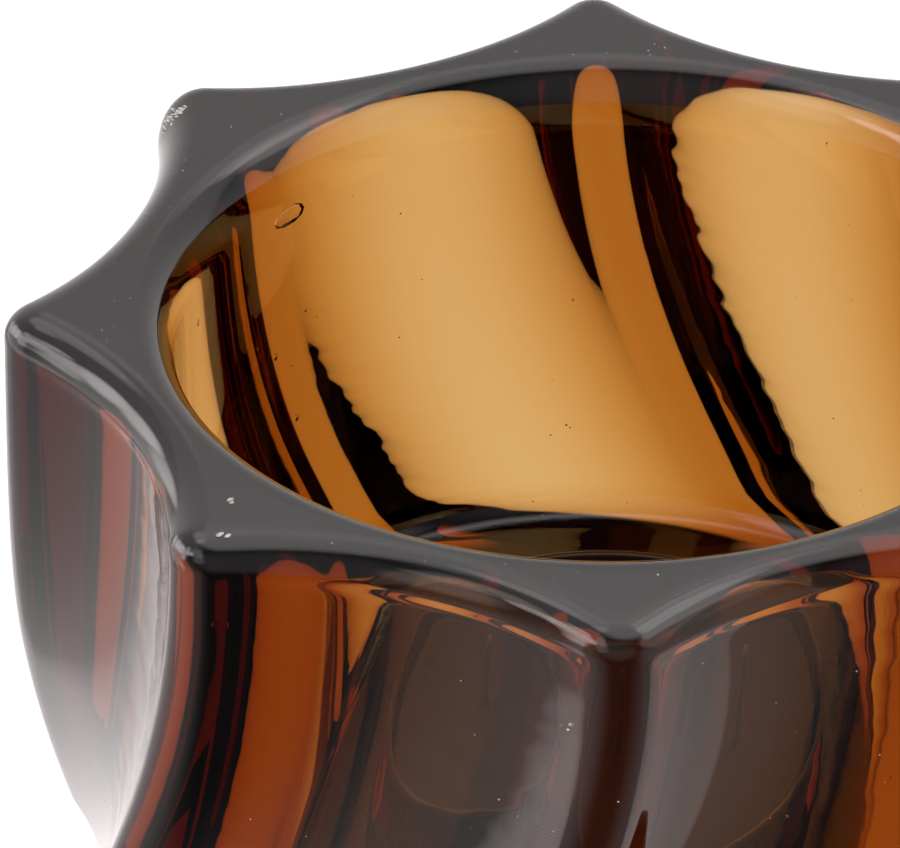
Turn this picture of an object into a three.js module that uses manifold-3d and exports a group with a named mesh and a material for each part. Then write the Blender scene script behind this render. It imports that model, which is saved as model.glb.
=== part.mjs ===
// A tealight holder: a thick bowl of pressed glass whose outside is an eight-pointed star that twists as it
// goes down, with the tealight that it holds. Millimetres, +Z up, the origin in the middle of the base, and
// at the rim one of the star's points on +X.
import * as THREE from "three";
import { mergeVertices } from "three/addons/utils/BufferGeometryUtils.js";
import Module from "manifold-3d";

// Glass bowl.
const HEIGHT = 60;
const POINTS = 8;
const POINT_RADIUS = 46; // from the axis to the top of a rib
const VALLEY_RADIUS = 39; // from the axis to the bottom of a flute
const POINT_ROUNDING = 3.7;
const RIM_ROUNDING = 2.8; // how far the rounded outer edges of the rim and the base reach inwards
const RIM_DEPTH = 3.8; // and how far they reach down, or up
const LIP_ROUNDING = 3; // how far the rim's rounded inner edge reaches outwards
const LIP_DEPTH = 4.5;
const WELL_RADIUS = 33;
const WELL_DEPTH = 40.4;
const WELL_CORNER = 2.8;
const SEAT_RADIUS = 19.7; // the recess in the well's floor that centres the tealight
const SEAT_DEPTH = 8.5;
const SEAT_CORNER = 0.8;
const KICK_RADIUS = 27; // the shallow hollow under the base
const KICK_DEPTH = 1.2;

// The ribs are upright under the rim, bend over and then run down at a steady slope.
const TWIST_START = 3; // depth under the rim
const TWIST_STEADY = 36;
const TWIST_BEND = 0.0105; // degrees per square millimetre of depth

// Tealight.
const CUP_RADIUS = 18.6;
const CUP_BASE_RADIUS = 17.9;
const CUP_HEIGHT = 14;
const CUP_WALL = 0.4;
const CUP_LIP = 0.5; // how far the rolled lip stands out
const CUP_CORNER = 1.6;
const WAX_LEVEL = 12; // above the cup's underside
const WAX_MENISCUS = 0.5; // how far the wax climbs at the cup's wall and at the wick
const MENISCUS_WIDTH = 4; // how far that reaches from the wall
const COLLAR_WIDTH = 2; // and from the wick
const TAB_RADIUS = 6;
const TAB_THICKNESS = 0.4;
const NECK_RADIUS = 1.6;
const NECK_HEIGHT = 3;
const WICK_RADIUS = 0.8;
const WICK_STANDS = 7; // above the wax
const GAP = 0.3; // between neighbouring solids

// How finely round shapes are cut up.
const FLUTE_STEPS = 9;
const POINT_STEPS = 4;
const HEIGHT_STEPS = 16;
const ROUNDING_STEPS = 3;
const CURVE_STEPS = 2; // an arc takes twice as many
const WELL_SIDES = 64;
const CUP_SIDES = 48;
const WICK_SIDES = 16;

const CUTTER_OVERRUN = 1; // how far a cutter runs past the face that it opens
const SAME_POINT = 1e-3; // points closer than this are one point

const SEAT_FLOOR = HEIGHT - WELL_DEPTH - SEAT_DEPTH;
const CUP_FLOOR = SEAT_FLOOR + CUP_WALL;
const WAX_TOP = SEAT_FLOOR + WAX_LEVEL;
const WAX_BOTTOM = CUP_FLOOR + GAP;

const wasm = await Module();
wasm.setup();

const material = (color, roughness, metalness, opacity = 1) =>
  new THREE.MeshStandardMaterial({ color, roughness, metalness, opacity, transparent: opacity < 1 });
const AMBER_GLASS = material(0x5a2c10, 0.06, 0, 0.75);
const BROWN_LACQUER = material(0x2a1c14, 0.4, 0.6);
const BROWN_WAX = material(0x3b2114, 0.4, 0);
const TINNED_STEEL = material(0xb6b8ba, 0.35, 1);
const WAXED_COTTON = material(0x33211a, 0.7, 0);

// A closed geometry as a manifold-3d solid, and back.
function toSolid(geometry) {
  const bare = new THREE.BufferGeometry().setAttribute("position", geometry.getAttribute("position"));
  bare.setIndex(geometry.index);
  const merged = mergeVertices(bare, SAME_POINT);
  return new wasm.Manifold(
    new wasm.Mesh({
      numProp: 3,
      vertProperties: merged.attributes.position.array,
      triVerts: new Uint32Array(merged.index.array),
    }),
  );
}

function toGeometry(solid) {
  const { vertProperties, triVerts } = solid.getMesh();
  const geometry = new THREE.BufferGeometry();
  geometry.setAttribute("position", new THREE.BufferAttribute(vertProperties, 3));
  geometry.setIndex(new THREE.BufferAttribute(triVerts, 1));
  geometry.computeVertexNormals();
  return geometry;
}

// A body of revolution about +Z. The profile is a Path of radius and height that runs anticlockwise.
function turned(profile, sides) {
  const apart = (point, i, all) => !i || point.distanceTo(all[i - 1]) > SAME_POINT;
  const points = profile.getPoints(CURVE_STEPS).filter(apart);
  return new THREE.LatheGeometry(points, sides).rotateX(Math.PI / 2);
}

// A star whose hollow sides are circular arcs, each one tangent to the round points beside it.
function starShape() {
  const half = Math.PI / POINTS;
  const pointCentre = POINT_RADIUS - POINT_ROUNDING;
  const along = pointCentre * Math.cos(half);
  const across = pointCentre * Math.sin(half);
  const fluteRadius =
    (POINT_ROUNDING ** 2 - VALLEY_RADIUS ** 2 - pointCentre ** 2 + 2 * VALLEY_RADIUS * along) /
    (2 * (VALLEY_RADIUS - along - POINT_ROUNDING));
  const fluteCentre = VALLEY_RADIUS + fluteRadius;
  const fluteTurn = Math.atan2(across, fluteCentre - along);
  const pointTurn = fluteTurn + half;
  const outline = [];
  const arc = (axis, centre, radius, from, to, steps) => {
    for (let i = 0; i < steps; i++) {
      const angle = axis + from + ((to - from) * i) / steps;
      const x = centre * Math.cos(axis) + radius * Math.cos(angle);
      const y = centre * Math.sin(axis) + radius * Math.sin(angle);
      outline.push(new THREE.Vector2(x, y));
    }
  };
  for (let k = 0; k < POINTS; k++) {
    const axis = 2 * half * k;
    arc(axis, pointCentre, POINT_ROUNDING, -pointTurn, pointTurn, POINT_STEPS);
    arc(axis + half, fluteCentre, fluteRadius, Math.PI + fluteTurn, Math.PI - fluteTurn, FLUTE_STEPS);
  }
  return new THREE.Shape(outline);
}

// The turn of the star at a depth under the rim, in radians, clockwise from above.
function twist(depth) {
  const bent = Math.min(Math.max(depth - TWIST_START, 0), TWIST_STEADY - TWIST_START);
  const steady = Math.max(depth - TWIST_STEADY, 0);
  const slope = 2 * TWIST_BEND * (TWIST_STEADY - TWIST_START);
  return THREE.MathUtils.degToRad(TWIST_BEND * bent ** 2 + slope * steady);
}

function twistedStar() {
  const star = new THREE.ExtrudeGeometry(starShape(), {
    depth: HEIGHT - 2 * RIM_DEPTH,
    steps: HEIGHT_STEPS,
    bevelThickness: RIM_DEPTH,
    bevelSize: RIM_ROUNDING,
    bevelOffset: -RIM_ROUNDING,
    bevelSegments: ROUNDING_STEPS,
  }).translate(0, 0, RIM_DEPTH);
  const position = star.getAttribute("position");
  const vertex = new THREE.Vector3();
  const up = new THREE.Vector3(0, 0, 1);
  for (let i = 0; i < position.count; i++) {
    vertex.fromBufferAttribute(position, i);
    vertex.applyAxisAngle(up, -twist(HEIGHT - vertex.z));
    position.setXYZ(i, vertex.x, vertex.y, vertex.z);
  }
  return star;
}

// The space inside the bowl: the rounded lip, the straight well, its floor and the tealight's seat.
function wellCutter() {
  const floor = HEIGHT - WELL_DEPTH;
  const profile = new THREE.Path();
  profile.moveTo(0, SEAT_FLOOR);
  profile.lineTo(SEAT_RADIUS - SEAT_CORNER, SEAT_FLOOR);
  profile.absarc(SEAT_RADIUS - SEAT_CORNER, SEAT_FLOOR + SEAT_CORNER, SEAT_CORNER, -Math.PI / 2, 0);
  profile.lineTo(SEAT_RADIUS, floor - SEAT_CORNER);
  profile.absarc(SEAT_RADIUS + SEAT_CORNER, floor - SEAT_CORNER, SEAT_CORNER, Math.PI, Math.PI / 2, true);
  profile.lineTo(WELL_RADIUS - WELL_CORNER, floor);
  profile.absarc(WELL_RADIUS - WELL_CORNER, floor + WELL_CORNER, WELL_CORNER, -Math.PI / 2, 0);
  const lipStart = HEIGHT - LIP_DEPTH;
  const lipEnd = WELL_RADIUS + LIP_ROUNDING;
  profile.lineTo(WELL_RADIUS, lipStart);
  profile.absellipse(lipEnd, lipStart, LIP_ROUNDING, LIP_DEPTH, Math.PI, Math.PI / 2, true, 0);
  profile.lineTo(lipEnd, HEIGHT + CUTTER_OVERRUN);
  profile.lineTo(0, HEIGHT + CUTTER_OVERRUN);
  return turned(profile, WELL_SIDES);
}

// The shallow dome under the base, which leaves a flat ring to stand on.
function kickCutter() {
  const domeRadius = (KICK_RADIUS ** 2 + KICK_DEPTH ** 2) / (2 * KICK_DEPTH);
  const profile = new THREE.Path();
  profile.moveTo(0, -CUTTER_OVERRUN);
  profile.lineTo(KICK_RADIUS, -CUTTER_OVERRUN);
  profile.lineTo(KICK_RADIUS, 0);
  const start = Math.asin((domeRadius - KICK_DEPTH) / domeRadius);
  profile.absarc(0, KICK_DEPTH - domeRadius, domeRadius, start, Math.PI / 2);
  return turned(profile, WELL_SIDES);
}

function glassBowl() {
  const body = toSolid(twistedStar()).subtract(toSolid(wellCutter())).subtract(toSolid(kickCutter()));
  return toGeometry(body);
}

// A pressed foil cup with a rolled lip, standing on the seat, lacquered as dark as the wax in it.
function foilCup() {
  const top = SEAT_FLOOR + CUP_HEIGHT;
  const profile = new THREE.Path();
  profile.moveTo(0, SEAT_FLOOR);
  profile.lineTo(CUP_BASE_RADIUS - CUP_CORNER, SEAT_FLOOR);
  profile.absarc(CUP_BASE_RADIUS - CUP_CORNER, SEAT_FLOOR + CUP_CORNER, CUP_CORNER, -Math.PI / 2, 0);
  profile.lineTo(CUP_RADIUS, top - 2 * CUP_LIP);
  profile.absarc(CUP_RADIUS, top - CUP_LIP, CUP_LIP, -Math.PI / 2, Math.PI / 2);
  profile.lineTo(CUP_RADIUS - CUP_WALL, top);
  profile.lineTo(CUP_BASE_RADIUS - CUP_WALL, SEAT_FLOOR + CUP_CORNER);
  profile.absarc(
    CUP_BASE_RADIUS - CUP_CORNER,
    SEAT_FLOOR + CUP_CORNER,
    CUP_CORNER - CUP_WALL,
    0,
    -Math.PI / 2,
    true,
  );
  profile.lineTo(0, CUP_FLOOR);
  return turned(profile, CUP_SIDES);
}

// The wax fill: a ring round the wick, hollow below for the wick's tab.
function waxFill() {
  const outside = CUP_BASE_RADIUS - CUP_WALL - GAP;
  const corner = CUP_CORNER - CUP_WALL;
  const tabTop = CUP_FLOOR + TAB_THICKNESS + GAP;
  const neckTop = CUP_FLOOR + NECK_HEIGHT + GAP;
  const bore = WICK_RADIUS + GAP;
  const waxLevel = WAX_TOP - WAX_MENISCUS;
  const profile = new THREE.Path();
  profile.moveTo(TAB_RADIUS + GAP, WAX_BOTTOM);
  profile.lineTo(outside - corner, WAX_BOTTOM);
  profile.absarc(outside - corner, WAX_BOTTOM + corner, corner, -Math.PI / 2, 0);
  profile.lineTo(outside, WAX_TOP);
  profile.quadraticCurveTo(outside - MENISCUS_WIDTH / 4, waxLevel, outside - MENISCUS_WIDTH, waxLevel);
  profile.lineTo(bore + COLLAR_WIDTH, waxLevel);
  profile.quadraticCurveTo(bore + COLLAR_WIDTH / 4, waxLevel, bore, WAX_TOP);
  profile.lineTo(bore, neckTop);
  profile.lineTo(NECK_RADIUS + GAP, neckTop);
  profile.lineTo(NECK_RADIUS + GAP, tabTop);
  profile.lineTo(TAB_RADIUS + GAP, tabTop);
  profile.lineTo(TAB_RADIUS + GAP, WAX_BOTTOM);
  return turned(profile, CUP_SIDES);
}

// The tab that holds the wick up: a disc on the cup's floor with a neck crimped round the wick.
function wickTab() {
  const bore = WICK_RADIUS + GAP;
  const profile = new THREE.Path();
  profile.moveTo(bore, CUP_FLOOR);
  profile.lineTo(TAB_RADIUS, CUP_FLOOR);
  profile.lineTo(TAB_RADIUS, CUP_FLOOR + TAB_THICKNESS);
  profile.lineTo(NECK_RADIUS, CUP_FLOOR + TAB_THICKNESS);
  profile.lineTo(NECK_RADIUS, CUP_FLOOR + NECK_HEIGHT);
  profile.lineTo(bore, CUP_FLOOR + NECK_HEIGHT);
  profile.lineTo(bore, CUP_FLOOR);
  return turned(profile, CUP_SIDES / 2);
}

function wick() {
  const bottom = CUP_FLOOR + GAP;
  const length = WAX_TOP + WICK_STANDS - bottom;
  return new THREE.CylinderGeometry(WICK_RADIUS, WICK_RADIUS, length, WICK_SIDES)
    .rotateX(Math.PI / 2)
    .translate(0, 0, bottom + length / 2);
}

function piece(name, geometry, look) {
  const mesh = new THREE.Mesh(geometry, look);
  mesh.name = name;
  return mesh;
}

const tealight = new THREE.Group();
tealight.add(
  piece("tealight_cup", foilCup(), BROWN_LACQUER),
  piece("wax_fill", waxFill(), BROWN_WAX),
  piece("wick_tab", wickTab(), TINNED_STEEL),
  piece("wick", wick(), WAXED_COTTON),
);

const holder = new THREE.Group();
holder.add(piece("glass_bowl", glassBowl(), AMBER_GLASS), tealight);

export default holder;
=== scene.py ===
"""The looks of the tealight holder: a twisted star bowl of amber pressed glass and the tealight in it."""
import math

import bpy
import numpy as np
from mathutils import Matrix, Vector, noise


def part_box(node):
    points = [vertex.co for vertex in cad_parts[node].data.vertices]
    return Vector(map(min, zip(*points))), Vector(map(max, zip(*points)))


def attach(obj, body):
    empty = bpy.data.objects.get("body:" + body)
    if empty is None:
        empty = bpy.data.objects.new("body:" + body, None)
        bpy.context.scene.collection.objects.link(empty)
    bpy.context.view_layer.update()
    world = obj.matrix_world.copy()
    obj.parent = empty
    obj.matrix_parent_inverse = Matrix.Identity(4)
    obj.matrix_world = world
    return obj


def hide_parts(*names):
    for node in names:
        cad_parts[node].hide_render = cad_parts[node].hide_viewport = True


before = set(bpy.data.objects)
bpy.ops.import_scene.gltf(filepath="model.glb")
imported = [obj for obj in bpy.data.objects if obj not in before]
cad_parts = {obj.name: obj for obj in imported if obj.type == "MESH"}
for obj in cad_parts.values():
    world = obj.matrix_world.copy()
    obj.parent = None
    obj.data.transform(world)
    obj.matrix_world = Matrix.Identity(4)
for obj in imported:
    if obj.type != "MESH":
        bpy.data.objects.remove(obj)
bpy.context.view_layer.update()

MM = 0.001


# ---------------------------------------------------------------- sizes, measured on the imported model
def glass_at(start, direction):
    """Where a straight line first meets the CAD glass, in millimetres."""
    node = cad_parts["glass_bowl"]
    found, place, _, _ = node.ray_cast(Vector(start) * MM, Vector(direction))
    if not found:
        raise ValueError(f"no glass from {start} along {direction}")
    return place / MM


def box_mm(node):
    low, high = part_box(node)
    return low / MM, high / MM


_, GLASS_HIGH = box_mm("glass_bowl")
CUP_LOW, CUP_HIGH = box_mm("tealight_cup")
WAX_LOW, WAX_HIGH = box_mm("wax_fill")
TAB_LOW, TAB_HIGH = box_mm("wick_tab")
WICK_LOW, WICK_HIGH = box_mm("wick")

POINTS = 8
HALF_LOBE = math.pi / POINTS
HEIGHT = GLASS_HIGH.z
POINT_RADIUS = GLASS_HIGH.x
OUTSIDE = 5  # how far from the glass a measuring line starts
UNDER_LIP = HEIGHT - 10  # a height at which the well's wall is straight
WELL_RADIUS = glass_at((0, 0, UNDER_LIP), (1, 0, 0)).x
BESIDE_SEAT = 0.78 * WELL_RADIUS  # a radius at which the well's floor is flat
WELL_FLOOR = glass_at((BESIDE_SEAT, 0, HEIGHT + OUTSIDE), (0, 0, -1)).z
SEAT_FLOOR = glass_at((0, 0, HEIGHT + OUTSIDE), (0, 0, -1)).z
SEAT_RADIUS = glass_at((0, 0, (SEAT_FLOOR + WELL_FLOOR) / 2), (1, 0, 0)).x
KICK_DEPTH = glass_at((0, 0, -OUTSIDE), (0, 0, 1)).z

# Radii, roundings and twist that the CAD model has too.
VALLEY_RADIUS = 39
KICK_RADIUS = 27
POINT_ROUNDING = 3.7
BASE_ROUNDING = 2.8  # the CAD model's reaches as far inwards, and 1 mm further up
LIP_ROUNDING = 3.0
LIP_DEPTH = 4.5
WELL_CORNER = 2.8
SEAT_CORNER = 0.8
TWIST_START = 3
TWIST_STEADY = 36
TWIST_BEND = 0.0105

# The rim's outer rounding: how far it reaches inwards and down. It is deeper at the back.
RIM_ROUNDING_AT_VALLEYS = 2.8
RIM_ROUNDING_AT_POINTS = 3.1
RIM_DEPTH_FRONT = 2.2
RIM_DEPTH_BACK = 4.8

# What fire polishing and the mould leave on the glass. A pair is a noise's size across and along the axis.
BEAD = 0.21
BEAD_DEPTH = 2.3
BEAD_WIDTH = 0.65
RIM_SWELL = 0.02
RIM_SWELL_SIZE = (13.0, 50.0)
RIM_FLARE = 0.022
FLARE_DEPTH = 35
RIPPLE = 0.042
RIPPLE_SIZE = (4.0, 2.2)
FINE_RIPPLE_SIZE = (2.2, 1.1)
WAVE = 0.03
WAVE_SIZE = (14.0, 22.0)
NOISE_STARTS = 2  # depth under the rim where ripples and waves begin
NOISE_GROWS = 3  # and how much deeper they are at full strength

# The rippled side of each rib, in degrees from its top: where the ripples begin, how far they take to grow,
# where they begin to fade and how far they take to fade.
RIPPLES_BEGIN = 2
RIPPLES_GROW = 5
RIPPLES_LAST = 15
RIPPLES_FADE = 8

# Where the rim's front ends and its back begins, as the sine of the direction from +X.
FRONT_ENDS = -0.1
BACK_BEGINS = 0.5

# Sizes of the tealight that the CAD model has too.
CUP_WALL = 0.4
CUP_LIP = 0.5
CUP_TAPER = 0.7
CUP_CORNER = 1.6
WAX_MENISCUS = 0.5
GAP = 0.3
TAB_THICKNESS = 0.4
NECK_RADIUS = 1.6

# The tealight's finer shapes.
PLEATS = 72
PLEAT_DEPTH = 0.12
STAMPED_RING = 0.15
STAMPED_WIDTH = 0.5
WAX_SWELL = 0.12
WAX_SWELL_SIZE = (4.0, 4.0)
MENISCUS_WIDTH = 0.9
COLLAR_WIDTH = 0.5
CURVED_AT_WALL = 1.3  # the widths of the wax's top that are cut up finely
CURVED_AT_WICK = 1.2
TAB_FILLET = 0.4
NECK_CHAMFER = 0.1
CRIMPS = 4
CRIMP = 0.2
CRIMP_AT = 0.65  # the part of the neck's height where it is crimped
CRIMP_WIDTH = 0.25
STRANDS = 4
STRAND_PITCH = 3.2
STRAND_RELIEF = 0.16
FRAYED_LENGTH = 0.5
FRAYED = 0.35
WICK_LEAN = 0.7

# Bubbles in the glass: one big flat one behind the well's wall (degrees from +X, radius, height and its
# half sizes across the wall, along it and upwards), and small round seeds.
BIG_BUBBLE = (136.3, 33.8, 53.7, 0.06, 1.8, 0.9)
SEEDS = 30
SEED_SIZES = (0.08, 0.26)
SEED_STRETCH = 1.4
SEED_CLEARANCE = 1.2
BUBBLE_LUMPS = 0.1

# White grit and chips: degrees from +X, radius or height, and size.
CHIPS_ON_RIM = ((-137.4, 39.3, 0.34), (-136.9, 39.5, 0.24), (-133.6, 43.1, 0.4), (-132.9, 42.8, 0.34))
CHIPS_ON_SIDE = ((-94.8, 51.2, 0.24), (-95.1, 50.6, 0.16))
CHIPPED_POINT = (138.5, 44.2)
CHIPPED_SPREAD = (1.1, 0.8)  # degrees and radius
CHIPPED_GRAINS = 46
CHIPPED_SIZES = (0.1, 0.3)
GRIT = 220
GRIT_SIZES = (0.05, 0.12)
GRIT_HEIGHTS = (0.15 * HEIGHT, 0.93 * HEIGHT)
GRIT_LUMPS = 0.45
GRAIN_ON_RIM = (1, 0.6, 0.3)  # a grain's half sizes outwards, sideways and upwards, for a size of 1
GRAIN_ON_SIDE = (0.4, 1, 0.7)
LUMP_SIZE = (0.7, 0.7)
ONE_ON_RIM_IN = 3  # one grain in so many lies on the rim, and the others on the side

# How finely the pieces are cut up.
GRAIN_AROUND = 8
LOBE_STEPS = 44
WALL_STEPS = 140
RIM_STEPS = 16
LIP_STEPS = 12
CENTRE = 0.5  # radius of the disc in the middle of the seat and of the underside
CUP_CENTRE = 0.4  # and of the disc in the middle of the cup's floor
CUP_AROUND = 432
WAX_AROUND = 180
TAB_AROUND = 96
WICK_AROUND = 48
WICK_STEPS = 110


# ---------------------------------------------------------------- small helpers
def mesh_piece(name, points, faces):
    """A smoothly shaded mesh object from points in millimetres."""
    mesh = bpy.data.meshes.new(name)
    mesh.from_pydata([tuple(p) for p in np.asarray(points) * MM], [], faces)
    mesh.update()
    mesh.polygons.foreach_set("use_smooth", [True] * len(mesh.polygons))
    piece = bpy.data.objects.new(name, mesh)
    bpy.context.scene.collection.objects.link(piece)
    return piece


def grid_faces(rings, around, closed=False):
    """Quads between rings of points. A closed grid joins its last ring to its first."""
    faces = []
    for i in range(rings if closed else rings - 1):
        a = i * around
        b = (i + 1) % rings * around
        for k in range(around):
            after = (k + 1) % around
            faces.append((a + k, a + after, b + after, b + k))
    return faces


def capped(faces, rings, around):
    """A grid's faces with a flat cap over its first and its last ring."""
    last = (rings - 1) * around
    return faces + [tuple(range(around))[::-1], tuple(range(last, last + around))]


def new_material(name):
    material = bpy.data.materials.new(name)
    material.use_nodes = True
    tree = material.node_tree
    return material, tree, tree.nodes["Principled BSDF"], tree.nodes["Material Output"]


def add_node(tree, kind, **settings):
    """A node with its properties and unlinked sockets set; a socket's name is written with _ for a space."""
    made = tree.nodes.new(kind)
    for key, value in settings.items():
        socket = made.inputs.get(key.replace("_", " "))
        if socket is not None:
            socket.default_value = value
        else:
            setattr(made, key, value)
    return made


def arc(start, end, steps):
    """Angles in radians from start to end, given in degrees, both included."""
    return np.radians(np.linspace(start, end, steps + 1))


# ---------------------------------------------------------------- the bowl
# TURN holds the directions of a ring's vertices, which lie closer together at the star's points, and
# NEAREST_POINT holds the direction of the star's point that each of them is nearest to.
AROUND = POINTS * LOBE_STEPS
ACROSS_LOBE = np.arange(LOBE_STEPS) * 2 / LOBE_STEPS - 1
CLOSER_AT_POINTS = HALF_LOBE * (ACROSS_LOBE + ACROSS_LOBE * np.abs(ACROSS_LOBE)) / 2
TURN = (2 * HALF_LOBE * np.arange(POINTS)[:, None] + CLOSER_AT_POINTS).ravel()
NEAREST_POINT = np.round(TURN / (2 * HALF_LOBE)) * 2 * HALF_LOBE


def star_outline(inset):
    """Points of the star's outline, moved inwards by inset, which may differ from point to point."""
    tip_centre = POINT_RADIUS - POINT_ROUNDING
    along = tip_centre * math.cos(HALF_LOBE)
    across = tip_centre * math.sin(HALF_LOBE)
    flute = (POINT_ROUNDING**2 - VALLEY_RADIUS**2 - tip_centre**2 + 2 * VALLEY_RADIUS * along) / (
        2 * (VALLEY_RADIUS - along - POINT_ROUNDING))
    flute_centre = VALLEY_RADIUS + flute
    tip_turn = math.atan2(across, flute_centre - along) + HALF_LOBE
    tip_end = math.atan2(POINT_ROUNDING * math.sin(tip_turn),
                         tip_centre + POINT_ROUNDING * math.cos(tip_turn))
    side = np.where(TURN >= NEAREST_POINT, 1.0, -1.0)
    rel = np.abs(TURN - NEAREST_POINT)
    on_tip = rel <= tip_end
    tip_reach = np.sqrt(np.maximum(POINT_ROUNDING**2 - (tip_centre * np.sin(rel))**2, 0))
    flute_reach = np.sqrt(np.maximum(flute**2 - (flute_centre * np.sin(HALF_LOBE - rel))**2, 0))
    radius = np.where(on_tip, tip_centre * np.cos(rel) + tip_reach,
                      flute_centre * np.cos(HALF_LOBE - rel) - flute_reach)
    x, y = radius * np.cos(rel), radius * np.sin(rel)
    normal_x = np.where(on_tip, (x - tip_centre) / POINT_ROUNDING,
                        (flute_centre * math.cos(HALF_LOBE) - x) / flute)
    normal_y = np.where(on_tip, y / POINT_ROUNDING, (flute_centre * math.sin(HALF_LOBE) - y) / flute)
    x = x - inset * normal_x
    y = (y - inset * normal_y) * side
    return turned(x, y, NEAREST_POINT)


def twist(depth):
    """How far the star has turned at depths under the rim, in radians, clockwise from above."""
    bent = np.clip(depth - TWIST_START, 0, TWIST_STEADY - TWIST_START)
    steady = np.maximum(depth - TWIST_STEADY, 0)
    return np.radians(TWIST_BEND * bent**2 + 2 * TWIST_BEND * (TWIST_STEADY - TWIST_START) * steady)


def ring_at(x, y, z):
    """A ring's points. Its height may be one number or one for each point."""
    return np.stack([x, y, np.broadcast_to(z, x.shape)], 1)


def turned(x, y, angle):
    return x * np.cos(angle) - y * np.sin(angle), x * np.sin(angle) + y * np.cos(angle)


def noise_at(points, size, seed):
    """Smooth noise from -1 to 1, with one size across the axis and another along it."""
    across, along = size
    scale = np.array([1 / across, 1 / across, 1 / along])
    return np.array([noise.noise(Vector(p) + Vector((seed, 7 * seed, 0))) for p in points * scale])


def rough_side():
    """1 on the side of each rib where the mould's ripples are strong, and 0 elsewhere."""
    from_top = np.degrees(NEAREST_POINT - TURN)
    rise = np.clip((from_top - RIPPLES_BEGIN) / RIPPLES_GROW, 0, 1)
    fall = np.clip((from_top - RIPPLES_LAST) / RIPPLES_FADE, 0, 1)
    return (rise * (1 - fall)) ** 0.8


def near_point():
    """0 in the valleys between the star's points and 1 at the points."""
    return 0.5 + 0.5 * np.cos(POINTS * TURN)


def behind():
    """0 at the front of the rim and 1 at its back, where it slumped more while it was soft."""
    share = np.clip((np.sin(TURN) - FRONT_ENDS) / (BACK_BEGINS - FRONT_ENDS), 0, 1)
    return share**2 * (3 - 2 * share)


def star_ring(height, inset):
    """One ring of the outside: twisted to its height, beaded under the rim and rippled by the mould."""
    depth = HEIGHT - height
    angle = -twist(depth)
    flare = 1 + RIM_FLARE * behind() * np.exp(-((depth / FLARE_DEPTH) ** 2))
    x, y = turned(*star_outline(inset), angle)
    plain = ring_at(x, y, height)
    bead = BEAD * np.exp(-(((depth - BEAD_DEPTH) / BEAD_WIDTH) ** 2))
    bead = bead * (1 - behind()) * (1 - near_point() ** 4)  # none at the back, nor at the star's points
    ripple = noise_at(plain, RIPPLE_SIZE, seed=3) + 0.5 * noise_at(plain, FINE_RIPPLE_SIZE, seed=11)
    wave = noise_at(plain, WAVE_SIZE, seed=5)
    fade = np.clip((depth - NOISE_STARTS) / NOISE_GROWS, 0, 1)
    lift = bead + fade * (RIPPLE * ripple * rough_side() + WAVE * wave)
    x, y = turned(*star_outline(inset - lift), angle)
    return ring_at(x * flare, y * flare, height)


def round_ring(radius, height, angle=0.0):
    return ring_at(radius * np.cos(TURN + angle), radius * np.sin(TURN + angle), height)


def between(first, last, steps):
    """Rings between two rings, without either of them."""
    return [first + (last - first) * k / steps for k in range(1, steps)]


def underside_rings():
    """The shallow hollow under the base, from the middle out, and the ring that the bowl stands on."""
    dome = (KICK_RADIUS**2 + KICK_DEPTH**2) / (2 * KICK_DEPTH)
    angle = -twist(HEIGHT)
    rings = [round_ring(r, KICK_DEPTH - dome + math.sqrt(dome**2 - r**2), angle)
             for r in np.linspace(CENTRE, KICK_RADIUS, 16)]
    x, y = turned(*star_outline(BASE_ROUNDING), angle)
    return rings + between(rings[-1], ring_at(x, y, 0.0), 6)


def outside_rings():
    """The base's rounded edge, the twisted wall, and the rim's rounded edge."""
    rings = [star_ring(BASE_ROUNDING * (1 - math.cos(a)), BASE_ROUNDING * (1 - math.sin(a)))
             for a in arc(0, 90, 6)]
    wider_at_points = RIM_ROUNDING_AT_POINTS - RIM_ROUNDING_AT_VALLEYS
    rim_rounding = RIM_ROUNDING_AT_VALLEYS + wider_at_points * near_point()
    rim_depth = RIM_DEPTH_FRONT + (RIM_DEPTH_BACK - RIM_DEPTH_FRONT) * behind()
    wall = HEIGHT - rim_depth - BASE_ROUNDING
    rings += [star_ring(BASE_ROUNDING + wall * k / WALL_STEPS, 0.0) for k in range(1, WALL_STEPS)]
    return rings + [star_ring(HEIGHT - rim_depth * (1 - math.sin(a)), rim_rounding * (1 - math.cos(a)))
                    for a in arc(0, 90, RIM_STEPS)]


def lip_rings():
    middle = WELL_RADIUS + LIP_ROUNDING
    return [round_ring(middle + LIP_ROUNDING * math.cos(a), HEIGHT - LIP_DEPTH * (1 - math.sin(a)))
            for a in arc(90, 180, LIP_STEPS)]


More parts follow.
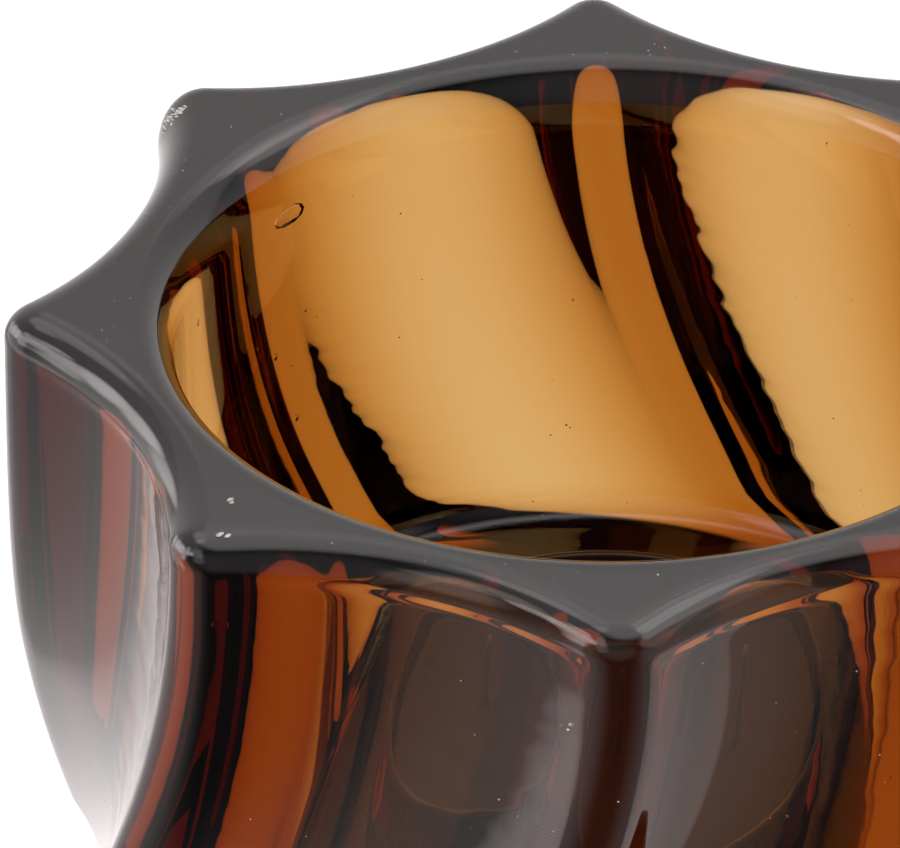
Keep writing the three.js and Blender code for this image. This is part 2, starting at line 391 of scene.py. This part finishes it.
def well_rings():
    """The straight wall of the well, its floor and the tealight's seat, from the top down."""
    rings = [round_ring(WELL_RADIUS, z)
             for z in np.linspace(HEIGHT - LIP_DEPTH, WELL_FLOOR + WELL_CORNER, 26)[1:]]
    corner = WELL_RADIUS - WELL_CORNER
    rings += [round_ring(corner + WELL_CORNER * math.cos(a), WELL_FLOOR + WELL_CORNER * (1 - math.sin(a)))
              for a in arc(0, 90, 8)[1:]]
    edge = SEAT_RADIUS + SEAT_CORNER
    rings += [round_ring(r, WELL_FLOOR) for r in np.linspace(corner, edge, 5)[1:]]
    rings += [round_ring(edge - SEAT_CORNER * math.sin(a), WELL_FLOOR - SEAT_CORNER * (1 - math.cos(a)))
              for a in arc(0, 90, 4)[1:]]
    rings += [round_ring(SEAT_RADIUS, z)
              for z in np.linspace(WELL_FLOOR - SEAT_CORNER, SEAT_FLOOR + SEAT_CORNER, 6)[1:]]
    inner = SEAT_RADIUS - SEAT_CORNER
    rings += [round_ring(inner + SEAT_CORNER * math.cos(a), SEAT_FLOOR + SEAT_CORNER * (1 - math.sin(a)))
              for a in arc(0, 90, 4)[1:]]
    return rings + [round_ring(r, SEAT_FLOOR) for r in np.linspace(inner, CENTRE, 8)[1:]]


def swollen(rings):
    """The rim's rings with the slow swells that fire polishing leaves on its top."""
    for ring in rings:
        ring[:, 2] += RIM_SWELL * noise_at(ring, RIM_SWELL_SIZE, seed=21)
    return rings


def grain(middle, sizes, angle, lumpiness, seed):
    """A small closed grain with half sizes outwards, sideways and upwards at a turn about the axis."""
    turn = np.arange(GRAIN_AROUND) * 2 * math.pi / GRAIN_AROUND
    rings = [ring_at(math.cos(a) * np.cos(turn), math.cos(a) * np.sin(turn), math.sin(a))
             for a in arc(-70, 70, GRAIN_AROUND // 2)]
    points = np.vstack(rings)
    lumps = 1 + lumpiness * noise_at(points, LUMP_SIZE, seed)
    points = points * lumps[:, None] * np.array(sizes)
    x, y = turned(points[:, 0], points[:, 1], angle)
    faces = capped(grid_faces(len(rings), GRAIN_AROUND), len(rings), GRAIN_AROUND)
    return np.stack([x, y, points[:, 2]], 1) + np.array(middle), faces


def joined(parts):
    """The points and faces of several meshes as one."""
    points, faces, start = [], [], 0
    for some_points, some_faces in parts:
        points.append(some_points)
        faces += [tuple(start + corner for corner in face) for face in some_faces]
        start += len(some_points)
    return np.vstack(points), faces


def around_axis(turn, radius, height):
    return radius * math.cos(turn), radius * math.sin(turn), height


def bubbles():
    """Hollows inside the glass, so their faces point inwards."""
    chance = np.random.default_rng(5)
    degrees, radius, height, *sizes = BIG_BUBBLE
    turn = math.radians(degrees)
    hollows = [grain(around_axis(turn, radius, height), sizes, turn, BUBBLE_LUMPS, seed=2)]
    for seed in range(SEEDS):
        turn = chance.uniform(0, 2 * math.pi)
        radius = chance.uniform(WELL_RADIUS + SEED_CLEARANCE, VALLEY_RADIUS - SEED_CLEARANCE)
        height = chance.uniform(WELL_FLOOR, HEIGHT - 1.5 * LIP_DEPTH)
        size = chance.uniform(*SEED_SIZES)
        sizes = (size, size, SEED_STRETCH * size)
        hollows.append(grain(around_axis(turn, radius, height), sizes, turn, BUBBLE_LUMPS, seed))
    return [(points, [face[::-1] for face in faces]) for points, faces in hollows]


def glass_bowl():
    outside = outside_rings()
    wall, rounding = outside[:-RIM_STEPS - 1], outside[-RIM_STEPS - 1:]
    lip = lip_rings()
    rim = rounding + between(rounding[-1], lip[0], 10) + lip
    rings = underside_rings() + wall + swollen(rim) + well_rings()
    faces = capped(grid_faces(len(rings), AROUND), len(rings), AROUND)
    return mesh_piece("amber_glass_bowl", *joined([(np.vstack(rings), faces)] + bubbles()))


def grit(bowl):
    """White grit and small chips that lie on the bowl's rim and on its outside."""
    bpy.context.view_layer.update()
    chance = np.random.default_rng(8)

    def lying_on(start, towards, sizes, seed):
        found, place, _, _ = bowl.ray_cast(Vector(start) * MM, Vector(towards))
        if not found:
            raise ValueError(f"no glass from {start} along {towards}")
        return grain(place / MM, sizes, math.atan2(start[1], start[0]), GRIT_LUMPS, seed)

    def on_rim(turn, radius, size, seed):
        sizes = size * np.array(GRAIN_ON_RIM)
        return lying_on(around_axis(turn, radius, HEIGHT + OUTSIDE), (0, 0, -1), sizes, seed)

    def on_side(turn, height, size, seed):
        sizes = size * np.array(GRAIN_ON_SIDE)
        inwards = (-math.cos(turn), -math.sin(turn), 0)
        return lying_on(around_axis(turn, 2 * POINT_RADIUS, height), inwards, sizes, seed)

    parts = [on_rim(math.radians(at), radius, size, seed=1) for at, radius, size in CHIPS_ON_RIM]
    parts += [on_side(math.radians(at), height, size, seed=2) for at, height, size in CHIPS_ON_SIDE]
    degrees, radius = CHIPPED_POINT
    spread_degrees, spread_radius = CHIPPED_SPREAD
    for seed in range(CHIPPED_GRAINS):
        turn = math.radians(degrees + chance.uniform(-spread_degrees, spread_degrees))
        away = radius + chance.uniform(-spread_radius, spread_radius)
        parts.append(on_rim(turn, away, chance.uniform(*CHIPPED_SIZES), seed))
    for seed in range(GRIT):
        turn = chance.uniform(0, 2 * math.pi)
        size = chance.uniform(*GRIT_SIZES) * chance.uniform(0.5, 1)
        if seed % ONE_ON_RIM_IN:
            parts.append(on_side(turn, chance.uniform(*GRIT_HEIGHTS), size, seed))
        else:
            radius = chance.uniform(WELL_RADIUS + LIP_ROUNDING, VALLEY_RADIUS)
            parts.append(on_rim(turn, radius, size, seed))
    return mesh_piece("grit_and_chips", *joined(parts))


def amber_glass():
    material, tree, shader, output = new_material("amber_glass")
    shader.inputs["Base Color"].default_value = (1, 1, 1, 1)
    shader.inputs["Transmission Weight"].default_value = 1
    shader.inputs["IOR"].default_value = 1.5
    absorb = add_node(tree, "ShaderNodeVolumeAbsorption", Color=(0.83, 0.625, 0.235, 1), Density=400)
    tree.links.new(absorb.outputs["Volume"], output.inputs["Volume"])
    place = add_node(tree, "ShaderNodeTexCoord")
    peel = add_node(tree, "ShaderNodeTexNoise", Scale=90, Detail=1)
    tree.links.new(place.outputs["Object"], peel.inputs["Vector"])
    bump = add_node(tree, "ShaderNodeBump", Strength=0.06, Distance=0.0003)
    tree.links.new(peel.outputs["Fac"], bump.inputs["Height"])
    tree.links.new(bump.outputs["Normal"], shader.inputs["Normal"])
    wear = add_node(tree, "ShaderNodeTexNoise", Scale=120, Detail=2)
    tree.links.new(place.outputs["Object"], wear.inputs["Vector"])
    rough = add_node(tree, "ShaderNodeMapRange", From_Min=0.55, From_Max=0.8, To_Min=0.0, To_Max=0.03)
    tree.links.new(wear.outputs["Fac"], rough.inputs["Value"])
    tree.links.new(rough.outputs["Result"], shader.inputs["Roughness"])
    return material


def crushed_glass():
    material, tree, shader, _ = new_material("crushed_glass")
    specks = mottled(tree, shader, (0.22, 0.2, 0.19), (0.7, 0.68, 0.65), 3000, (0.35, 0.6))
    bumped(tree, shader, specks.outputs["Fac"], 0.5, 0.05)
    return material


# ---------------------------------------------------------------- the tealight
def lathed(name, profile, around, closed):
    """Rings round the axis from pairs of radius and height. A closed profile makes a ring with a hole."""
    turn = np.arange(around) * 2 * math.pi / around
    rings = [ring_at(r * np.cos(turn), r * np.sin(turn), z) for r, z in profile(turn)]
    faces = grid_faces(len(rings), around, closed)
    if not closed:
        faces = capped(faces, len(rings), around)
    return mesh_piece(name, np.vstack(rings), faces)


def bow(middle_r, middle_z, radius, start, end, steps):
    """Pairs of radius and height along a circular arc of a profile."""
    return [(middle_r + radius * math.cos(a), middle_z + radius * math.sin(a))
            for a in arc(start, end, steps)]


def cup_profile(turn):
    """Up the pleated wall from the middle of the underside, over the rolled lip and down inside."""
    floor, top = CUP_LOW.z, CUP_HIGH.z
    lip = CUP_HIGH.x - CUP_LIP
    base = lip - CUP_TAPER
    pleat = PLEAT_DEPTH * (0.5 - 0.5 * np.cos(PLEATS * turn))

    def stamped(radius):
        return STAMPED_RING * math.exp(-(((radius - 0.6 * base) / STAMPED_WIDTH) ** 2))

    def wall(height, inset):
        # The pleats fade out towards the floor and towards the lip.
        share = (height - floor) / (top - floor)
        fade = min(1, 4 * share) * min(1, 5 * (1 - share))
        return base + CUP_TAPER * share - inset - pleat * fade

    flat = np.linspace(CUP_CENTRE, base - CUP_CORNER, 40)
    heights = np.linspace(floor + CUP_CORNER, top - 2 * CUP_LIP, 16)
    profile = [(radius, floor + stamped(radius)) for radius in flat]
    profile += bow(base - CUP_CORNER, floor + CUP_CORNER, CUP_CORNER, -90, 0, 6)[1:-1]
    profile += [(wall(height, 0), height) for height in heights]
    profile += bow(lip, top - CUP_LIP, CUP_LIP, -90, 90, 10)
    profile += bow(lip - CUP_WALL / 2, top - CUP_WALL / 2, CUP_WALL / 2, 90, 180, 4)[1:]
    profile += [(wall(height, CUP_WALL), height) for height in heights[::-1]]
    profile += bow(base - CUP_CORNER, floor + CUP_CORNER, CUP_CORNER - CUP_WALL, 0, -90, 6)[1:-1]
    return profile + [(radius, floor + CUP_WALL + stamped(radius)) for radius in flat[::-1]]


def wax_profile(turn):
    """A ring round the wick, hollow below for the tab. Its top set with a low swell."""
    outside, bottom, top = WAX_HIGH.x, WAX_LOW.z, WAX_HIGH.z
    corner = CUP_CORNER - CUP_WALL
    bore = WICK_HIGH.x + GAP
    tab = TAB_HIGH.x + GAP
    tab_top = TAB_LOW.z + TAB_THICKNESS + GAP
    neck = NECK_RADIUS + GAP
    neck_top = TAB_HIGH.z + GAP

    def level(radius):
        rim = math.exp(-((outside - radius) / MENISCUS_WIDTH))
        collar = math.exp(-((radius - bore) / COLLAR_WIDTH))
        points = ring_at(radius * np.cos(turn), radius * np.sin(turn), 0.0)
        swell = WAX_SWELL * (0.5 + 0.5 * noise_at(points, WAX_SWELL_SIZE, seed=31))
        return top - (WAX_MENISCUS + swell) * (1 - max(rim, collar))

    profile = [(radius, bottom) for radius in np.linspace(tab, outside - corner, 8)]
    profile += bow(outside - corner, bottom + corner, corner, -90, 0, 6)[1:]
    profile += [(outside, height) for height in np.linspace(bottom + corner, top, 9)[1:]]
    near_wall = outside - CURVED_AT_WALL * np.linspace(0, 1, 9)[1:] ** 1.5
    middle = np.linspace(outside - CURVED_AT_WALL, bore + CURVED_AT_WICK, 40)[1:]
    near_wick = bore + CURVED_AT_WICK * np.linspace(1, 0, 9)[1:] ** 1.5
    profile += [(radius, level(radius)) for radius in np.concatenate([near_wall, middle, near_wick])]
    profile += [(bore, height) for height in np.linspace(top, neck_top, 8)[1:]]
    return profile + [(neck, neck_top), (neck, tab_top), (tab, tab_top)]


def tab_profile(turn):
    """A stamped disc with a neck that is crimped on to the wick from four sides."""
    low, edge, neck_top = TAB_LOW.z, TAB_HIGH.x, TAB_HIGH.z
    disc_top = low + TAB_THICKNESS
    bore = WICK_HIGH.x + GAP
    rounding = TAB_THICKNESS / 2
    pinch = CRIMP * np.maximum(np.cos(CRIMPS * turn), 0)

    def neck(height):
        share = (height - disc_top) / (neck_top - disc_top)
        return NECK_RADIUS - pinch * math.exp(-(((share - CRIMP_AT) / CRIMP_WIDTH) ** 2))

    profile = [(radius, low) for radius in np.linspace(bore, edge - rounding, 10)]
    profile += bow(edge - rounding, low + rounding, rounding, -90, 90, 8)[1:]
    fillet = NECK_RADIUS + TAB_FILLET
    below_top = neck_top - NECK_CHAMFER
    profile += [(radius, disc_top) for radius in np.linspace(edge - rounding, fillet, 8)[1:]]
    profile += bow(fillet, disc_top + TAB_FILLET, TAB_FILLET, 270, 180, 5)[1:-1]
    profile += [(neck(height), height) for height in np.linspace(disc_top + TAB_FILLET, below_top, 12)]
    profile += [(NECK_RADIUS - NECK_CHAMFER, neck_top), (bore + NECK_CHAMFER, neck_top)]
    return profile + [(bore, height) for height in np.linspace(below_top, low, 8)[:-1]]


def braided_wick():
    """A round braid: strands that cross each other as they run up, leaning over a little above the wax."""
    turn = np.arange(WICK_AROUND) * 2 * math.pi / WICK_AROUND
    radius = WICK_HIGH.x
    rings = []
    for height in np.linspace(WICK_LOW.z, WICK_HIGH.z, WICK_STEPS):
        rise = 2 * math.pi * (height - WICK_LOW.z) / STRAND_PITCH
        one_way = np.abs(np.cos((STRANDS * turn + rise) / 2))
        other_way = np.abs(np.cos((STRANDS * turn - rise) / 2))
        relief = STRAND_RELIEF * (1 - np.maximum(one_way, other_way) ** 2)
        frayed = FRAYED * radius * max(0, (height - WICK_HIGH.z + FRAYED_LENGTH) / FRAYED_LENGTH) ** 2
        reach = radius - relief - frayed
        free = max(0, (height - WAX_HIGH.z) / (WICK_HIGH.z - WAX_HIGH.z))
        rings.append(ring_at(reach * np.cos(turn) + WICK_LEAN * free**2, reach * np.sin(turn), height))
    faces = capped(grid_faces(len(rings), WICK_AROUND), len(rings), WICK_AROUND)
    return mesh_piece("braided_wick", np.vstack(rings), faces)


def mottled(tree, shader, dark, light, scale, roughness):
    """Noise between two colours and two roughnesses, in the piece's own space. Returns the noise."""
    place = add_node(tree, "ShaderNodeTexCoord")
    specks = add_node(tree, "ShaderNodeTexNoise", Scale=scale, Detail=5)
    tree.links.new(place.outputs["Object"], specks.inputs["Vector"])
    colours = add_node(tree, "ShaderNodeValToRGB")
    colours.color_ramp.elements[0].position = 0.3
    colours.color_ramp.elements[0].color = (*dark, 1)
    colours.color_ramp.elements[1].position = 0.7
    colours.color_ramp.elements[1].color = (*light, 1)
    tree.links.new(specks.outputs["Fac"], colours.inputs["Fac"])
    tree.links.new(colours.outputs["Color"], shader.inputs["Base Color"])
    rough = add_node(tree, "ShaderNodeMapRange", From_Min=0.3, From_Max=0.7,
                     To_Min=roughness[0], To_Max=roughness[1])
    tree.links.new(specks.outputs["Fac"], rough.inputs["Value"])
    tree.links.new(rough.outputs["Result"], shader.inputs["Roughness"])
    return specks


def bumped(tree, shader, relief, strength, distance_mm):
    bump = add_node(tree, "ShaderNodeBump", Strength=strength, Distance=distance_mm * MM)
    tree.links.new(relief, bump.inputs["Height"])
    tree.links.new(bump.outputs["Normal"], shader.inputs["Normal"])


def lacquered_foil():
    material, tree, shader, _ = new_material("lacquered_foil")
    specks = mottled(tree, shader, (0.016, 0.007, 0.004), (0.034, 0.016, 0.009), 900, (0.28, 0.45))
    shader.inputs["Metallic"].default_value = 0.5
    shader.inputs["Coat Weight"].default_value = 0.15
    shader.inputs["Coat Roughness"].default_value = 0.25
    bumped(tree, shader, specks.outputs["Fac"], 0.2, 0.03)
    return material


def brown_wax():
    material, tree, shader, _ = new_material("brown_wax")
    specks = mottled(tree, shader, (0.014, 0.005, 0.003), (0.032, 0.012, 0.006), 350, (0.45, 0.65))
    shader.inputs["Specular IOR Level"].default_value = 0.25
    shader.inputs["Subsurface Weight"].default_value = 0.15
    shader.inputs["Subsurface Scale"].default_value = 0.002
    shader.inputs["Subsurface Radius"].default_value = (1.0, 0.4, 0.2)
    bumped(tree, shader, specks.outputs["Fac"], 0.25, 0.06)
    return material


def tinned_steel():
    material, tree, shader, _ = new_material("tinned_steel")
    mottled(tree, shader, (0.5, 0.5, 0.5), (0.72, 0.72, 0.71), 1500, (0.25, 0.42))
    shader.inputs["Metallic"].default_value = 1
    place = add_node(tree, "ShaderNodeTexCoord")
    turning = add_node(tree, "ShaderNodeTexWave", wave_type="RINGS", rings_direction="Z", Scale=900,
                       Distortion=2)
    tree.links.new(place.outputs["Object"], turning.inputs["Vector"])
    bumped(tree, shader, turning.outputs["Fac"], 0.15, 0.02)
    return material


def waxed_cotton():
    material, tree, shader, _ = new_material("waxed_cotton")
    mottled(tree, shader, (0.018, 0.008, 0.005), (0.045, 0.022, 0.013), 2500, (0.5, 0.8))
    shader.inputs["Sheen Weight"].default_value = 0.2
    place = add_node(tree, "ShaderNodeTexCoord")
    fibres = add_node(tree, "ShaderNodeTexNoise", Scale=6000, Detail=3)
    tree.links.new(place.outputs["Object"], fibres.inputs["Vector"])
    bumped(tree, shader, fibres.outputs["Fac"], 0.5, 0.05)
    return material


# ---------------------------------------------------------------- the stage
# The bowl's painted contact shadow: its radius, how wide its edge fades and how far behind the axis its
# middle is.
SHADOW_RADIUS = 38.5
SHADOW_FADE = 3
SHADOW_BEHIND = 3

# How brightly the floor and the surroundings glow, and the stage's own sizes in metres.
FLOOR_GLOW = 1.12
SURROUNDINGS_GLOW = 1.13
FLOOR_SIZE = 40
FLOOR_BELOW = 0.0002
DOME_RADIUS = 9


def studio_floor():
    bpy.ops.mesh.primitive_plane_add(size=FLOOR_SIZE, location=(0, 0, -FLOOR_BELOW))
    floor = bpy.context.object
    floor.name = "studio_floor"
    material, tree, shader, _ = new_material("floor_paper")
    shader.inputs["Base Color"].default_value = (0.04, 0.04, 0.04, 1)
    shader.inputs["Roughness"].default_value = 0.8
    shader.inputs["Emission Color"].default_value = (1, 1, 1, 1)
    # Painted contact shadow: the floor glows evenly, except in a soft circle under the bowl where it doesn't
    # glow.
    place = add_node(tree, "ShaderNodeTexCoord")
    away = add_node(tree, "ShaderNodeVectorMath", operation="DISTANCE")
    away.inputs[1].default_value = (0, SHADOW_BEHIND * MM, 0)
    tree.links.new(place.outputs["Object"], away.inputs[0])
    glow = add_node(tree, "ShaderNodeMapRange", interpolation_type="SMOOTHSTEP", From_Min=SHADOW_RADIUS * MM,
                    From_Max=(SHADOW_RADIUS + SHADOW_FADE) * MM, To_Min=0.0, To_Max=FLOOR_GLOW)
    tree.links.new(away.outputs["Value"], glow.inputs["Value"])
    tree.links.new(glow.outputs["Result"], shader.inputs["Emission Strength"])
    floor.data.materials.append(material)
    floor.visible_glossy = False


# Soft boxes and cards that show only in reflections: compass direction in degrees from +X, height above
# the horizon, how wide they are fully lit, how wide until they fade out, and how bright.
CARDS = [
    (75, 10, 48, 60, 1.15),
    (90, 44, 6, 16, 1.65),
    (75, 68, 20, 40, 2.1),
    (118, 52, 5, 15, 2.4),
    (136, 61, 3, 12, 3.2),
    (56, 54, 6, 16, 3.0),
    (36, 54, 6, 16, 4.2),
    (12, 48, 6, 18, 2.7),
    (-5, 35, 10, 30, 1.1),
    (-165, 50, 5, 16, 1.8),
    (-148, 46, 4, 13, 2.0),
    (-140, 32, 6, 20, 1.2),
    (137, 3, 3, 15, 3.2),
    (150, 14, 3, 16, 5.4),
    (163, 21, 3, 17, 6.6),
    (175, 24, 3, 16, 5.4),
    (181, 13, 3, 12, 4.6),
    (171, 40, 1, 7, 4.2),
    (-177, 34, 4, 10, 5.4),
    (-168, 38, 2, 9, 4.4),
    (160, 0, 14, 40, 2.0),
    (140, 32, 25, 60, 0.95),
    (180, -20, 4, 16, 2.3),
    (172, -25, 10, 70, 0.8),
    (-100, 35, 10, 55, 0.45),
    (106, -38, 12, 30, 1.15),
    (60, -38, 20, 50, 1.15),
    (150, -38, 25, 60, 0.84),
    (0, -37, 12, 15, 1.25),
    (-5, -5, 15, 60, 0.8),
    (0, -30, 20, 60, 0.42),
]
SHADE = 0.08  # how bright the dome is away from its cards


def reflected_studio():
    """A dome that only reflections see, with soft cards painted on it by direction."""
    bpy.ops.mesh.primitive_uv_sphere_add(segments=64, ring_count=32, radius=DOME_RADIUS)
    dome = bpy.context.object
    dome.name = "reflected_studio"
    material, tree, shader, output = new_material("soft_cards")
    tree.nodes.remove(shader)
    place = add_node(tree, "ShaderNodeTexCoord")
    towards = add_node(tree, "ShaderNodeVectorMath", operation="NORMALIZE")
    tree.links.new(place.outputs["Object"], towards.inputs[0])
    brightest = None
    for compass, above, lit, fades, strength in CARDS:
        a, e = math.radians(compass), math.radians(above)
        card = add_node(tree, "ShaderNodeVectorMath", operation="DOT_PRODUCT")
        card.inputs[1].default_value = (math.cos(a) * math.cos(e), math.sin(a) * math.cos(e), math.sin(e))
        tree.links.new(towards.outputs["Vector"], card.inputs[0])
        soft = add_node(tree, "ShaderNodeMapRange", interpolation_type="SMOOTHSTEP",
                        From_Min=math.cos(math.radians(fades)), From_Max=math.cos(math.radians(lit)),
                        To_Min=SHADE, To_Max=strength)
        tree.links.new(card.outputs["Value"], soft.inputs["Value"])
        if brightest is None:
            brightest = soft.outputs["Result"]
        else:
            larger = add_node(tree, "ShaderNodeMath", operation="MAXIMUM")
            tree.links.new(brightest, larger.inputs[0])
            tree.links.new(soft.outputs["Result"], larger.inputs[1])
            brightest = larger.outputs["Value"]
    glow = add_node(tree, "ShaderNodeEmission", Color=(1, 0.94, 0.94, 1))
    tree.links.new(brightest, glow.inputs["Strength"])
    tree.links.new(glow.outputs["Emission"], output.inputs["Surface"])
    dome.data.materials.append(material)
    material.cycles.emission_sampling = "NONE"
    for ray in ("camera", "diffuse", "transmission", "volume_scatter", "shadow"):
        setattr(dome, "visible_" + ray, False)


def white_surroundings():
    world = bpy.data.worlds.new("white_surroundings")
    bpy.context.scene.world = world
    world.use_nodes = True
    sky = world.node_tree.nodes["Background"]
    sky.inputs["Color"].default_value = (1, 1, 1, 1)
    sky.inputs["Strength"].default_value = SURROUNDINGS_GLOW


# The camera looks down on the near side of the bowl, and the frame cuts off its right side and its base.
VIEW_AZIMUTH = math.radians(-1.55)
VIEW_ELEVATION = math.radians(33.73)
VIEW_DISTANCE = 1.3222
VIEW_LENS = 684.6
AIM_DEPTH = 28 * MM
AIM_LEFT = 12.1 * MM
AIM_UP = 14.3 * MM


def camera():
    back = Vector((math.sin(VIEW_AZIMUTH) * math.cos(VIEW_ELEVATION),
                   -math.cos(VIEW_AZIMUTH) * math.cos(VIEW_ELEVATION), math.sin(VIEW_ELEVATION)))
    right = Vector((math.cos(VIEW_AZIMUTH), math.sin(VIEW_AZIMUTH), 0))
    up = back.cross(right)
    middle = Vector((0, 0, HEIGHT * MM - AIM_DEPTH))
    aim = middle - right * AIM_LEFT + up * AIM_UP
    view = bpy.data.objects.new("photo_view", bpy.data.cameras.new("photo_view"))
    bpy.context.scene.collection.objects.link(view)
    view.location = middle + back * VIEW_DISTANCE
    view.rotation_mode = "QUATERNION"
    view.rotation_quaternion = (aim - view.location).to_track_quat("-Z", "Y")
    view.data.lens = VIEW_LENS
    view.data.sensor_width = 36
    bpy.context.scene.camera = view


# ---------------------------------------------------------------- everything together
def dress(piece, material, body, node=None):
    """Give a piece its material and body, and let it take the place of its CAD node if it has one."""
    piece.data.materials.append(material)
    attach(piece, body)
    if node is not None:
        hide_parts(node)


camera()
white_surroundings()
studio_floor()
reflected_studio()
bpy.context.scene.view_settings.view_transform = "Standard"

bowl = glass_bowl()
dress(grit(bowl), crushed_glass(), "bowl")
dress(bowl, amber_glass(), "bowl", "glass_bowl")
dress(lathed("pleated_cup", cup_profile, CUP_AROUND, False), lacquered_foil(),
      "tealight", "tealight_cup")
dress(lathed("brown_wax_fill", wax_profile, WAX_AROUND, True), brown_wax(),
      "tealight", "wax_fill")
dress(lathed("crimped_tab", tab_profile, TAB_AROUND, True), tinned_steel(),
      "tealight", "wick_tab")
dress(braided_wick(), waxed_cotton(), "tealight", "wick")
